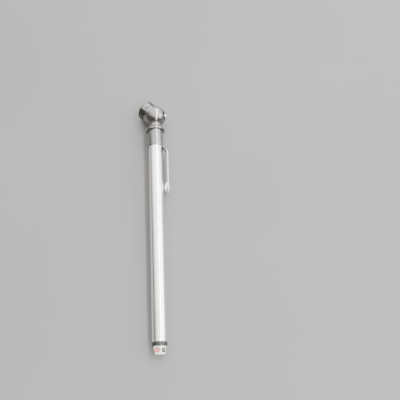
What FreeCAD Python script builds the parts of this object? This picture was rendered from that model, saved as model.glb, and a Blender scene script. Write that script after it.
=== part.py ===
"""Pencil tyre pressure gauge: chrome ball head with an angled valve chuck, a slim tube with a pocket
clip, and a square scale bar that a spring-loaded piston pushes out of the tube's open end.

Millimetres. The gauge lies flat: the tube runs along +Y towards the head, +Z is up and the clip is on +X.
Every piece is drawn about the tube's own axis, where a station is the distance along +Y from the tube's
open end, and the whole gauge is moved at the end so that its box stands on Z 0, centred on the origin.
"""
import FreeCAD
import Part
import math
import os

Vector = FreeCAD.Vector

# Tube
tube_outer_r = 4.5
tube_wall = 0.35
tube_length = 134.7
tube_end_round = 0.25        # rounded outer lip at the open end
tube_inner_r = tube_outer_r - tube_wall

# Fits
slide_clearance = 0.06       # piston parts in the tube, bar in its guide
assembly_clearance = 0.04    # loose washers and seals in their seats

# Head casting: spigot in the tube, collar, waist and ball
spigot_length = 9.0
passage_r = 1.5
collar_r = 6.2
collar_height = 1.6
collar_round = 0.45
waist_r = 4.0
waist_height = 4.2           # from the shoulder up to the waist
waist_flare = 0.3            # share of the step from waist to collar that the flare's middle keeps
ball_r = 7.1
ball_rise = 11.2             # from the shoulder up to the ball's centre
crimp_depth = 0.35           # roll crimp that holds the tube on the spigot
crimp_width = 1.6
crimp_drop = 3.6             # from the shoulder down to the crimp's middle
o_ring_drop = 6.4            # from the shoulder down to the groove's middle
o_ring_width = 1.3
o_ring_depth = 0.95
o_ring_corner = 0.3

# Chuck: its axis leaves the ball's centre, and heights are measured along it from there
chuck_angle = 48.0           # degrees from the tube's axis, away from the clip
chuck_barrel_r = 6.2
chuck_seat_r = 5.0           # counterbore for the pin carrier, seal and nose ring
chamber_r = 2.4
carrier_height = 1.6         # where the pin carrier lies
carrier_thickness = 0.8
carrier_slot_count = 3
carrier_slot_r = 0.55
carrier_slot_circle_r = 1.6
seal_thickness = 2.0
seal_hole_r = 1.7
seal_lead = 0.5              # bevel round the seal's hole
pin_r = 0.75
pin_stand = 1.2              # the pin's tip above the seal's face
pin_point = 0.3              # bevel at the pin's tip
pin_tail = 0.4               # the pin's other end below its carrier
barrel_end_height = 5.0
nose_length = 4.8
nose_r = 6.3
nose_bore_r = 4.15           # takes a valve stem of 7.7 mm thread
nose_bore_undercut = 0.25
nose_undercut_length = 1.4
nose_chamfer = 0.5
nose_rib_count = 3
nose_rib_depth = 0.45
nose_groove_width = 0.6

head_turn = 10.0             # degrees that the head is turned on the tube, dipping the chuck's mouth

# Bleed nub on the side away from the chuck
nub_tilt = -2.0              # degrees from square to the tube, towards the head's end
nub_flat_height = 6.1
nub_r = 1.3
nub_stand = 1.7
nub_dome = 0.7
nub_shank_r = 0.8
nub_shank_length = 1.8
nub_recess_r = 3.1
nub_recess_depth = 0.9

# Pocket clip: a rolled band on the tube, and a sprung arm
clip_sheet = 0.45
band_length = 10.1
band_gap = 1.0               # below the head's collar
band_seam = 0.25
band_seam_angle = 200.0      # degrees round the tube from the arm
arm_width = 4.2
arm_offset = 7.8             # arm's outer face from the tube's axis
arm_length = 31.5            # from the band's lower edge to the tip
arm_slope_length = 3.2       # length of tube that the sloping part takes
arm_bend_r = 1.0
arm_root_gap = 0.05          # the arm flexes at its root, so it is a node of its own
arm_root_drop = 0.3          # the band's tab that the arm springs from
arm_tip_round = 1.2
bowl_half_length = 4.0
bowl_half_width = 1.9
bowl_tip_drop = 3.3          # from the bowl's middle down to the arm's tip, which cuts the bowl short
bowl_tube_gap = 0.95         # at rest, between the bowl and the tube

# Guide in the open end
guide_lip_r = 4.35
guide_lip_length = 2.1
guide_lip_round = 0.35
guide_plug_length = 5.5
washer_thickness = 0.4
drag_leaf_sheet = 0.15
drag_leaf_width = 2.6
drag_pocket_depth = 0.75
drag_pocket_start = 0.8      # from the tube's end, inwards
drag_bar_gap = 0.03

# Scale bar
bar_side = 5.3
bar_corner = 0.4
bar_roll = 30.0              # degrees that one face's normal leans from +Z towards -X
bar_stand = 4.7              # out of the guide at rest
bar_tip_taper = 1.9
bar_tip_drop = 0.75
bar_foot_r = 3.4
bar_foot_thickness = 1.4
bar_piston_gap = 0.05

# Piston
piston_head_gap = 0.6
rivet_head_r = 1.7
rivet_head_thickness = 0.5
rivet_head_chamfer = 0.3
rivet_shank_r = 0.8
rivet_tail_r = 1.3
rivet_tail_thickness = 0.4
cup_washer_r = 2.4
cup_base_thickness = 1.0
cup_lip_thickness = 0.65
cup_lip_length = 2.0
cup_heel = 0.3
piston_disc_thickness = 1.8
piston_boss_r = 2.9
piston_boss_length = 2.5

# Spring
spring_wire = 0.5
spring_tube_clearance = 0.09
spring_turns = 26

# Stations that several pieces share
shoulder = tube_length
ball_station = shoulder + ball_rise
spigot_end = shoulder - spigot_length
band_top = shoulder - band_gap
band_bottom = band_top - band_length
guide_inner_end = guide_plug_length
washer_top = guide_inner_end + washer_thickness
rivet_top = spigot_end - piston_head_gap
cup_washer_top = rivet_top - rivet_head_thickness
cup_base_top = cup_washer_top - washer_thickness
piston_disc_top = cup_base_top - cup_base_thickness
piston_disc_bottom = piston_disc_top - piston_disc_thickness
spring_seat_bottom = piston_disc_bottom - washer_thickness
piston_end = piston_disc_bottom - piston_boss_length
bar_inner_end = piston_end - bar_piston_gap
bar_outer_end = -guide_lip_length - bar_stand
seal_bottom = carrier_height + carrier_thickness
seal_top = seal_bottom + seal_thickness
nose_end = barrel_end_height + nose_length
arm_mid_r = tube_outer_r + arm_root_gap + clip_sheet / 2
arm_straight_r = arm_offset - clip_sheet / 2
arm_root_station = band_bottom - arm_root_drop - arm_root_gap - clip_sheet / 2
arm_tip = band_bottom - arm_length
bowl_station = arm_tip + bowl_tip_drop
bar_reach_r = (bar_side - bar_corner) / math.sqrt(2)


# ---- drawing helpers ----------------------------------------------------------------------------

def outline_face(outline):
    """Closed flat face in the XY plane. An item is a point, or (middle, end) for an arc to end."""
    here = Vector(*outline[0], 0)
    start = here
    edges = []
    for item in outline[1:]:
        if isinstance(item[0], tuple):
            middle = Vector(*item[0], 0)
            end = Vector(*item[1], 0)
            edges.append(Part.Arc(here, middle, end).toShape())
        else:
            end = Vector(*item, 0)
            edges.append(Part.LineSegment(here, end).toShape())
        here = end
    if here.distanceToPoint(start) > 1e-6:
        edges.append(Part.LineSegment(here, start).toShape())
    return Part.Face(Part.Wire(edges))


def turned(outline):
    """Solid of revolution about the Y axis from an outline of (radius, station)."""
    return outline_face(outline).revolve(Vector(0, 0, 0), Vector(0, 1, 0), 360)


def cap_middle(radius, height, top):
    """Middle point of the arc of a ball-shaped cap on the axis, from its rim at radius up to its top."""
    ball = (radius ** 2 + height ** 2) / (2 * height)
    half_turn = math.asin(radius / ball) / 2
    return ball * math.sin(half_turn), top - ball * (1 - math.cos(half_turn))


def rod(radius, low, high):
    return Part.makeCylinder(radius, high - low, Vector(0, low, 0), Vector(0, 1, 0))


def ring(outer_r, inner_r, low, high):
    return rod(outer_r, low, high).cut(rod(inner_r, low - 1, high + 1))


def square_rod(side, low, high, corner=0.0):
    """Square prism along Y with bevelled long edges, before it is rolled."""
    half = side / 2
    inset = half - corner
    ends = [(half, inset), (inset, half), (-inset, half), (-half, inset),
            (-half, -inset), (-inset, -half), (inset, -half), (half, -inset)]
    points = []
    for x, z in ends:
        corner_point = Vector(x, low, z)
        if not points or corner_point.distanceToPoint(points[-1]) > 1e-6:
            points.append(corner_point)
    if points[0].distanceToPoint(points[-1]) > 1e-6:
        points.append(points[0])
    return Part.Face(Part.makePolygon(points)).extrude(Vector(0, high - low, 0))


def rolled(shape):
    """Turns a piece about the tube's axis by the scale bar's roll."""
    shape.rotate(Vector(0, 0, 0), Vector(0, 1, 0), -bar_roll)
    return shape


def on_ball(shape, angle):
    """Moves a piece drawn up the Y axis onto an axis through the ball's centre, angled towards -X."""
    shape.rotate(Vector(0, 0, 0), Vector(0, 0, 1), angle)
    shape.rotate(Vector(0, 0, 0), Vector(0, 1, 0), -head_turn)
    shape.translate(Vector(0, ball_station, 0))
    return shape


def on_chuck(shape):
    return on_ball(shape, chuck_angle)


def on_nub(shape):
    return on_ball(shape, nub_tilt - 90)


# ---- tube and head ------------------------------------------------------------------------------

def crimp_points(radius):
    """The four corners of the roll crimp on a wall of that radius, from the head downwards."""
    middle = shoulder - crimp_drop
    half = crimp_width / 2
    flat = half - crimp_depth
    low_r = radius - crimp_depth
    return [(radius, middle + half), (low_r, middle + flat), (low_r, middle - flat), (radius, middle - half)]


def barrel_tube():
    lip_middle = tube_end_round * (1 - math.sqrt(0.5))
    outline = [(tube_inner_r, 0), (tube_outer_r - tube_end_round, 0),
               ((tube_outer_r - lip_middle, lip_middle), (tube_outer_r, tube_end_round))]
    outline += crimp_points(tube_outer_r)[::-1]
    outline += [(tube_outer_r, shoulder), (tube_inner_r, shoulder)]
    outline += crimp_points(tube_inner_r)
    return turned(outline)


def head_casting():
    groove_top = shoulder - o_ring_drop + o_ring_width / 2
    groove_bottom = groove_top - o_ring_width
    groove_r = tube_inner_r - o_ring_depth
    ball_foot = ball_station - math.sqrt(ball_r ** 2 - waist_r ** 2)
    collar_top = shoulder + collar_height
    round_middle = collar_round * (1 - math.sqrt(0.5))
    waist_top = shoulder + waist_height
    flare_middle = (waist_r + waist_flare * (collar_r - waist_r), (collar_top + waist_top) / 2)
    outline = [(0, spigot_end), (tube_inner_r, spigot_end), (tube_inner_r, groove_bottom),
               (groove_r, groove_bottom), (groove_r, groove_top), (tube_inner_r, groove_top)]
    outline += crimp_points(tube_inner_r)[::-1]
    outline += [(tube_inner_r, shoulder), (collar_r - collar_round, shoulder),
                ((collar_r - round_middle, shoulder + round_middle), (collar_r, shoulder + collar_round)),
                (collar_r, collar_top - collar_round),
                ((collar_r - round_middle, collar_top - round_middle),
                 (collar_r - collar_round, collar_top)),
                (flare_middle, (waist_r, waist_top)), (waist_r, ball_foot),
                ((ball_r, ball_station), (0, ball_station + ball_r))]
    body = turned(outline)
    barrel = rod(chuck_barrel_r, 0, barrel_end_height)
    body = body.fuse(on_chuck(barrel))
    beyond_barrel = rod(nose_r, barrel_end_height, ball_r + 1)
    seat = rod(chuck_seat_r, carrier_height, barrel_end_height + 1)
    chamber = rod(chamber_r, 0, carrier_height + 1)
    passage = rod(passage_r, spigot_end - 1, ball_station + passage_r)
    flat = rod(ball_r, nub_flat_height, ball_r + 1)
    recess = ring(nub_recess_r, nub_r, nub_flat_height - nub_recess_depth, nub_flat_height + 1)
    nub_hole = rod(nub_r, nub_flat_height - nub_recess_depth, ball_r)
    shank_hole = rod(nub_shank_r, nub_flat_height - nub_recess_depth - nub_shank_length, ball_r)
    chuck_cut = on_chuck(beyond_barrel.fuse(seat).fuse(chamber))
    nub_cut = on_nub(flat.fuse(recess).fuse(nub_hole).fuse(shank_hole))
    for cut in (chuck_cut, nub_cut, passage):
        body = body.cut(cut)
    return body.removeSplitter()


def head_o_ring():
    groove_bottom = shoulder - o_ring_drop - o_ring_width / 2
    low = groove_bottom + assembly_clearance
    high = groove_bottom + o_ring_width - assembly_clearance
    outer_r = tube_inner_r
    inner_r = tube_inner_r - o_ring_depth
    bulge = o_ring_corner
    return turned([(inner_r, low + bulge), (inner_r + bulge, low), (outer_r - bulge, low),
                   (outer_r, low + bulge), (outer_r, high - bulge), (outer_r - bulge, high),
                   (inner_r + bulge, high), (inner_r, high - bulge)])


def deflator_nub():
    base = nub_flat_height - nub_recess_depth
    top = nub_flat_height + nub_stand
    return on_nub(turned([(0, base - nub_shank_length), (nub_shank_r, base - nub_shank_length),
                          (nub_shank_r, base), (nub_r, base), (nub_r, top - nub_dome),
                          (cap_middle(nub_r, nub_dome, top), (0, top))]))


# ---- chuck --------------------------------------------------------------------------------------

def pin_carrier():
    disc = rod(chuck_seat_r - assembly_clearance, carrier_height, seal_bottom)
    disc = disc.cut(rod(pin_r, carrier_height - 1, seal_bottom + 1))
    for i in range(carrier_slot_count):
        turn = 2 * math.pi * i / carrier_slot_count
        centre = Vector(carrier_slot_circle_r * math.cos(turn), carrier_height - 1,
                        carrier_slot_circle_r * math.sin(turn))
        disc = disc.cut(Part.makeCylinder(carrier_slot_r, carrier_thickness + 2, centre, Vector(0, 1, 0)))
    return on_chuck(disc)


def depressor_pin():
    tip = seal_top + pin_stand
    tail = carrier_height - pin_tail
    return on_chuck(turned([(0, tail), (pin_r, tail), (pin_r, tip - pin_point),
                            (pin_r - pin_point, tip), (0, tip)]))


def chuck_seal():
    seal = ring(chuck_seat_r - assembly_clearance, seal_hole_r, seal_bottom, seal_top)
    cone = turned([(0, seal_top - seal_lead), (seal_hole_r, seal_top - seal_lead),
                   (seal_hole_r + seal_lead, seal_top), (0, seal_top)])
    return on_chuck(seal.cut(cone))


def chuck_nose_ring():
    """Ribbed ring pressed into the chuck's mouth; its spigot holds the seal down."""
    undercut_r = nose_bore_r + nose_bore_undercut
    bore_start = seal_top + nose_undercut_length
    pitch = (nose_length - nose_groove_width) / nose_rib_count
    rib_height = pitch - nose_groove_width
    groove_r = nose_r - nose_rib_depth
    outline = [(undercut_r, seal_top), (chuck_seat_r, seal_top), (chuck_seat_r, barrel_end_height),
               (groove_r, barrel_end_height), (groove_r, barrel_end_height + nose_groove_width)]
    for i in range(nose_rib_count):
        low = barrel_end_height + nose_groove_width + i * pitch
        high = low + rib_height
        outline.append(((nose_r, (low + high) / 2), (groove_r, high)))
        outline.append((groove_r, high + nose_groove_width))
    outline += [(nose_bore_r + nose_chamfer, nose_end), (nose_bore_r, nose_end - nose_chamfer),
                (nose_bore_r, bore_start), (undercut_r, bore_start)]
    return on_chuck(turned(outline))


# ---- pocket clip --------------------------------------------------------------------------------

def clip_band():
    band = ring(tube_outer_r + clip_sheet, tube_outer_r, band_bottom, band_top)
    seam = Part.makeBox(tube_outer_r * 2, band_length + 2, band_seam,
                        Vector(0, band_bottom - 1, -band_seam / 2))
    seam.rotate(Vector(0, 0, 0), Vector(0, 1, 0), -band_seam_angle)
    tab = Part.makeBox(clip_sheet, arm_root_drop + 1, arm_width,
                       Vector(tube_outer_r, band_bottom - arm_root_drop, -arm_width / 2))
    tab = tab.common(ring(tube_outer_r + 2 * clip_sheet, tube_outer_r, 0, tube_length))
    return band.cut(seam).fuse(tab).removeSplitter()


def arm_plan():
    """The arm seen along X, as a thick plate to intersect with: a strip with round corners at its tip."""
    half = arm_width / 2
    top = arm_root_station + clip_sheet
    corner = arm_tip_round * (1 - math.sqrt(0.5))
    edges = [Part.LineSegment(Vector(0, top, half), Vector(0, arm_tip + arm_tip_round, half)).toShape(),
             Part.Arc(Vector(0, arm_tip + arm_tip_round, half), Vector(0, arm_tip + corner, half - corner),
                      Vector(0, arm_tip, half - arm_tip_round)).toShape(),
             Part.LineSegment(Vector(0, arm_tip, half - arm_tip_round),
                              Vector(0, arm_tip, arm_tip_round - half)).toShape(),
             Part.Arc(Vector(0, arm_tip, arm_tip_round - half), Vector(0, arm_tip + corner, corner - half),
                      Vector(0, arm_tip + arm_tip_round, -half)).toShape(),
             Part.LineSegment(Vector(0, arm_tip + arm_tip_round, -half), Vector(0, top, -half)).toShape(),
             Part.LineSegment(Vector(0, top, -half), Vector(0, top, half)).toShape()]
    return Part.Face(Part.Wire(edges)).extrude(Vector(arm_offset + 1, 0, 0))


def half_egg(depth, half_length, half_width):
    """Half of an egg shape, bulging from the arm's outer face towards the tube."""
    dome = Part.makeSphere(1, Vector(0, 0, 0), Vector(-1, 0, 0), 0, 90, 360)
    stretch = FreeCAD.Matrix()
    stretch.scale(Vector(depth, half_length, half_width))
    dome = dome.transformGeometry(stretch)
    dome.translate(Vector(arm_offset, bowl_station, 0))
    return dome


def clip_arm():
    root = Vector(arm_mid_r, arm_root_station, 0)
    knee = Vector(arm_straight_r, arm_root_station - arm_slope_length, 0)
    tip = Vector(arm_straight_r, arm_tip, 0)
    slope = (knee - root).normalize()
    turn = math.acos(slope.dot(Vector(0, -1, 0)))
    trim = arm_bend_r * math.tan(turn / 2)
    bend_start = knee - slope * trim
    bend_end = knee + Vector(0, -trim, 0)
    centre = bend_end + Vector(-arm_bend_r, 0, 0)
    bend_middle = centre + (knee - centre).normalize() * arm_bend_r
    side = Vector(slope.y, -slope.x, 0) * (-clip_sheet / 2)
    out = Vector(clip_sheet / 2, 0, 0)
    towards_knee = (knee - centre).normalize() * (clip_sheet / 2)
    edges = [Part.LineSegment(root + side, bend_start + side).toShape(),
             Part.Arc(bend_start + side, bend_middle + towards_knee, bend_end + out).toShape(),
             Part.LineSegment(bend_end + out, tip + out).toShape(),
             Part.LineSegment(tip + out, tip - out).toShape(),
             Part.LineSegment(tip - out, bend_end - out).toShape(),
             Part.Arc(bend_end - out, bend_middle - towards_knee, bend_start - side).toShape(),
             Part.LineSegment(bend_start - side, root - side).toShape(),
             Part.Arc(root - side, root - slope * (clip_sheet / 2), root + side).toShape()]
    wide = 4 * arm_width
    strip = Part.Face(Part.Wire(edges)).extrude(Vector(0, 0, wide))
    strip.translate(Vector(0, 0, -wide / 2))
    strip = strip.common(arm_plan())
    depth = arm_offset - tube_outer_r - bowl_tube_gap
    outer = half_egg(depth, bowl_half_length, bowl_half_width)
    inner = half_egg(depth - clip_sheet, bowl_half_length - clip_sheet, bowl_half_width - clip_sheet)
    beyond_tip = Part.makeBox(wide, wide, wide, Vector(0, arm_tip - wide, -wide / 2))
    return strip.fuse(outer.cut(beyond_tip)).cut(inner)


# ---- guide in the open end ----------------------------------------------------------------------

def pocket_box(depth, width, low, high):
    """Box outwards from one face of the square hole."""
    face = bar_side / 2 + slide_clearance
    return rolled(Part.makeBox(width, high - low, depth, Vector(-width / 2, low, face)))


def end_guide():
    lip_middle = guide_lip_round * (1 - math.sqrt(0.5))
    lip_low = -guide_lip_length
    body = turned([(0, lip_low), (guide_lip_r - guide_lip_round, lip_low),
                   ((guide_lip_r - lip_middle, lip_low + lip_middle),
                    (guide_lip_r, lip_low + guide_lip_round)),
                   (guide_lip_r, 0), (tube_inner_r, 0), (tube_inner_r, guide_inner_end),
                   (0, guide_inner_end)])
    hole = square_rod(bar_side + 2 * slide_clearance, lip_low - 1, guide_inner_end + 1, bar_corner)
    pocket = pocket_box(drag_pocket_depth, drag_leaf_width + 2 * assembly_clearance,
                        drag_pocket_start, guide_inner_end + 1)
    return body.cut(rolled(hole)).cut(pocket)


def drag_leaf():
    """Bowed leaf that bears on the bar, so that the bar stays where the piston leaves it."""
    face = bar_side / 2 + slide_clearance
    back = face + drag_pocket_depth - assembly_clearance
    near = bar_side / 2 + drag_bar_gap
    low = drag_pocket_start + assembly_clearance
    high = guide_inner_end - assembly_clearance
    middle = (low + high) / 2
    face_out = outline_face([(back, low), ((near + drag_leaf_sheet, middle), (back, high)),
                             (back - drag_leaf_sheet, high),
                             ((near, middle), (back - drag_leaf_sheet, low))])
    leaf = face_out.extrude(Vector(0, 0, drag_leaf_width))
    leaf.translate(Vector(0, 0, -drag_leaf_width / 2))
    leaf.rotate(Vector(0, 0, 0), Vector(0, 1, 0), -90)
    return rolled(leaf)


def stop_washer():
    hole_r = bar_reach_r + 2 * slide_clearance
    return ring(tube_inner_r - assembly_clearance, hole_r, guide_inner_end, washer_top)


# ---- scale bar ----------------------------------------------------------------------------------

def scale_bar():
    bar = square_rod(bar_side, bar_outer_end, bar_inner_end - bar_foot_thickness, bar_corner)
    outside_r = bar_reach_r + bar_corner
    taper_end = bar_outer_end + bar_tip_taper * (1 + bar_corner / bar_tip_drop)
    tip = turned([(0, bar_outer_end), (bar_reach_r - bar_tip_drop, bar_outer_end), (outside_r, taper_end),
                  (outside_r, bar_inner_end), (0, bar_inner_end)])
    foot = rod(bar_foot_r, bar_inner_end - bar_foot_thickness, bar_inner_end)
    return rolled(bar.common(tip)).fuse(foot)


# ---- piston and spring --------------------------------------------------------------------------

def piston_body():
    disc_r = tube_inner_r - slide_clearance
    counterbore_top = piston_end + 2 * rivet_tail_thickness
    counterbore_r = rivet_tail_r + assembly_clearance
    return turned([(rivet_shank_r, piston_disc_top), (disc_r, piston_disc_top), (disc_r, piston_disc_bottom),
                   (piston_boss_r, piston_disc_bottom), (piston_boss_r, piston_end),
                   (counterbore_r, piston_end), (counterbore_r, counterbore_top),
                   (rivet_shank_r, counterbore_top)])


def piston_cup():
    """Rubber cup with its lips towards the head, where the air comes in."""
    lip_r = tube_inner_r - slide_clearance / 2
    lip_inner_r = lip_r - cup_lip_thickness
    lip_top = cup_base_top + cup_lip_length - cup_base_thickness
    return turned([(rivet_shank_r, piston_disc_top), (lip_r - cup_heel, piston_disc_top),
                   (lip_r, piston_disc_top + cup_heel), (lip_r, lip_top), (lip_inner_r + cup_heel, lip_top),
                   (lip_inner_r, cup_base_top + cup_heel), (lip_inner_r - cup_heel, cup_base_top),
                   (rivet_shank_r, cup_base_top)])


def cup_washer():
    return ring(cup_washer_r, rivet_shank_r, cup_base_top, cup_washer_top)


def piston_rivet():
    tail_top = piston_end + 2 * rivet_tail_thickness
    tail_bottom = tail_top - rivet_tail_thickness
    return turned([(0, tail_bottom), (rivet_tail_r, tail_bottom), (rivet_tail_r, tail_top),
                   (rivet_shank_r, tail_top), (rivet_shank_r, cup_washer_top),
                   (rivet_head_r, cup_washer_top), (rivet_head_r, rivet_top - rivet_head_chamfer),
                   (rivet_head_r - rivet_head_chamfer, rivet_top), (0, rivet_top)])


def spring_seat():
    return ring(tube_inner_r - slide_clearance, piston_boss_r + assembly_clearance, spring_seat_bottom,
                piston_disc_bottom)


def main_spring():
    """Compression spring with ends ground flat on the stop washer and the spring seat."""
    mean_r = tube_inner_r - spring_tube_clearance - spring_wire / 2
    length = spring_seat_bottom - washer_top
    pitch = length / spring_turns
    swept_length = length + 2 * spring_wire
    helix = Part.makeHelix(pitch, swept_length, mean_r)
    section = Part.Wire(Part.makeCircle(spring_wire / 2, Vector(mean_r, 0, 0), Vector(0, 1, 0)))
    coil = Part.Wire(helix).makePipeShell([section], True, True)
    coil.translate(Vector(0, 0, -spring_wire))
    coil = coil.common(Part.makeCylinder(tube_inner_r, length))
    coil.rotate(Vector(0, 0, 0), Vector(1, 0, 0), -90)
    coil.translate(Vector(0, washer_top, 0))
    return coil


# ---- assembly -----------------------------------------------------------------------------------

makers = [barrel_tube, head_casting, head_o_ring, deflator_nub, pin_carrier, depressor_pin, chuck_seal,
          chuck_nose_ring, clip_band, clip_arm, end_guide, drag_leaf, stop_washer, scale_bar, piston_body,
          piston_cup, cup_washer, piston_rivet, spring_seat, main_spring]


def rest_shift(pieces):
    """Move that stands the gauge's box on Z 0, centred on the origin."""
    box = Part.makeCompound(list(pieces.values())).optimalBoundingBox(False)
    return Vector(-(box.XMin + box.XMax) / 2, -(box.YMin + box.YMax) / 2, -box.ZMin)


def build():
    pieces = {make.__name__: make() for make in makers}
    shift = rest_shift(pieces)
    for piece in pieces.values():
        piece.translate(shift)
    return pieces, shift


pieces, shift = build()
os.makedirs("parts", exist_ok=True)
for name, piece in pieces.items():
    piece.exportStep("parts/" + name + ".step")
print("pieces", len(pieces), "shift", tuple(round(v, 4) for v in shift))
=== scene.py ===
import bpy
import math
from mathutils import Matrix, Vector


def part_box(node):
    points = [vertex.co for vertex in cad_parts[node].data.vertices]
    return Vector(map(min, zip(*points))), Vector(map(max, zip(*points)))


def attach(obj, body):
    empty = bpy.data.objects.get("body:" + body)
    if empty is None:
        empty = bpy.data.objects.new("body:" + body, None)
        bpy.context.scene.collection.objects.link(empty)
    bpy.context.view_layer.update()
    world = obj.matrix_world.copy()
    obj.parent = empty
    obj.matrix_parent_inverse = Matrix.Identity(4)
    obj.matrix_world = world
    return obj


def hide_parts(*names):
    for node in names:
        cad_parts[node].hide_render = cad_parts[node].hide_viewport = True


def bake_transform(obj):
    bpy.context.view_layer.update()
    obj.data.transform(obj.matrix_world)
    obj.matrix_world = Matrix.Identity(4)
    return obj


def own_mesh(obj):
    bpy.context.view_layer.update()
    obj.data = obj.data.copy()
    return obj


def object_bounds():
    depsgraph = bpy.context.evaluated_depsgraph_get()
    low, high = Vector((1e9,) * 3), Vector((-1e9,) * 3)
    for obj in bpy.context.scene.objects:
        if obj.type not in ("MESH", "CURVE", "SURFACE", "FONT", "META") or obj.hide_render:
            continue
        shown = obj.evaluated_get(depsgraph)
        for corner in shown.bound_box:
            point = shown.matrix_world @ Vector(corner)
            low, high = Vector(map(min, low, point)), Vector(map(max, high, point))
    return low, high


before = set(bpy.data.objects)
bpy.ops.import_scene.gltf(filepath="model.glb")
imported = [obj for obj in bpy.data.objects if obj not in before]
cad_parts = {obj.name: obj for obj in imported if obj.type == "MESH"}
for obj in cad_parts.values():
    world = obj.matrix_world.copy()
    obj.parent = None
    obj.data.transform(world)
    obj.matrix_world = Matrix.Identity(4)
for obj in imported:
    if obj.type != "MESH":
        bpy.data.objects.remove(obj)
cadBox = [list(corner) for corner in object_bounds()]

tubeLow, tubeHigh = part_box("barrel_tube")
axisX = (tubeLow.x + tubeHigh.x) / 2
axisZ = (tubeLow.z + tubeHigh.z) / 2
openEnd = tubeLow.y  # stations are counted from here along +Y
print("stage 1: frame loaded,", len(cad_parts), "nodes")


view = {
    "place": (0.022375, -0.12466, 0.35552),
    "azimuth": 2.61,  # degrees to the right of +Y
    "down": 68.7,
    "lens": 54.0,
    "sensor": 36.0,
}


def addCamera():
    lens = bpy.data.cameras.new("studioCamera")
    lens.lens = view["lens"]
    lens.sensor_width = view["sensor"]
    lens.clip_start = 0.01
    camera = bpy.data.objects.new("studioCamera", lens)
    bpy.context.scene.collection.objects.link(camera)
    around = math.radians(view["azimuth"])
    down = math.radians(view["down"])
    level = math.cos(down)
    forward = Vector((math.sin(around) * level, math.cos(around) * level, -math.sin(down)))
    camera.location = view["place"]
    camera.rotation_euler = forward.to_track_quat("-Z", "Y").to_euler()
    bpy.context.scene.camera = camera


addCamera()


studio = {
    "floorSize": 6.0,
    "floorTilt": 1.09,  # degrees: the gauge rests on its head and on the tube's tail
    "floorGap": 0.00005,
    "aim": (0, 0.03, 0),  # the point that both panels face
    "skyLow": (0.36, 0.31, 0.26, 1),
    "skyHigh": (4.6, 4.58, 4.52, 1),
    "skyTowards": (0.3, 0.62, 0.72),
    "skyEdges": (0.0, 0.92),
    "lineLight": {"size": (0.02, 2.6), "at": (0.28, 0.1, 0.60), "power": 21.0, "across": (1, 0, 0)},
    "sideLight": {"size": (0.7, 0.4), "at": (0.8, 0.02, 0.45), "power": 6.0, "across": (0, 1, 0)},
}


def clearSelection():
    if bpy.context.object and bpy.context.object.mode != "OBJECT":
        bpy.ops.object.mode_set(mode="OBJECT")
    bpy.ops.object.select_all(action="DESELECT")


def choose(piece):
    clearSelection()
    piece.select_set(True)
    bpy.context.view_layer.objects.active = piece


def addPanel(name, panel):
    light = bpy.data.lights.new(name, "AREA")
    light.shape = "RECTANGLE"
    light.size, light.size_y = panel["size"]
    light.energy = panel["power"]
    lamp = bpy.data.objects.new(name, light)
    bpy.context.scene.collection.objects.link(lamp)
    lamp.location = panel["at"]
    back = (lamp.location - Vector(studio["aim"])).normalized()
    side = Vector(panel["across"])
    side = (side - back * side.dot(back)).normalized()
    lamp.rotation_euler = Matrix((side, back.cross(side), back)).transposed().to_euler()


for lampName in ("lineLight", "sideLight"):
    addPanel(lampName, studio[lampName])


class Field:  # a socket's value that plain sums work on
    def __init__(self, finish, socket):
        self.finish = finish
        self.socket = socket

    def work(self, operation, first, second=0.0):
        return self.finish.node("ShaderNodeMath", {"operation": operation}, {0: first, 1: second})

    def __add__(self, other):
        return self.work("ADD", self, other)

    def __radd__(self, other):
        return self.work("ADD", other, self)

    def __sub__(self, other):
        return self.work("SUBTRACT", self, other)

    def __rsub__(self, other):
        return self.work("SUBTRACT", other, self)

    def __mul__(self, other):
        return self.work("MULTIPLY", self, other)


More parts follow.
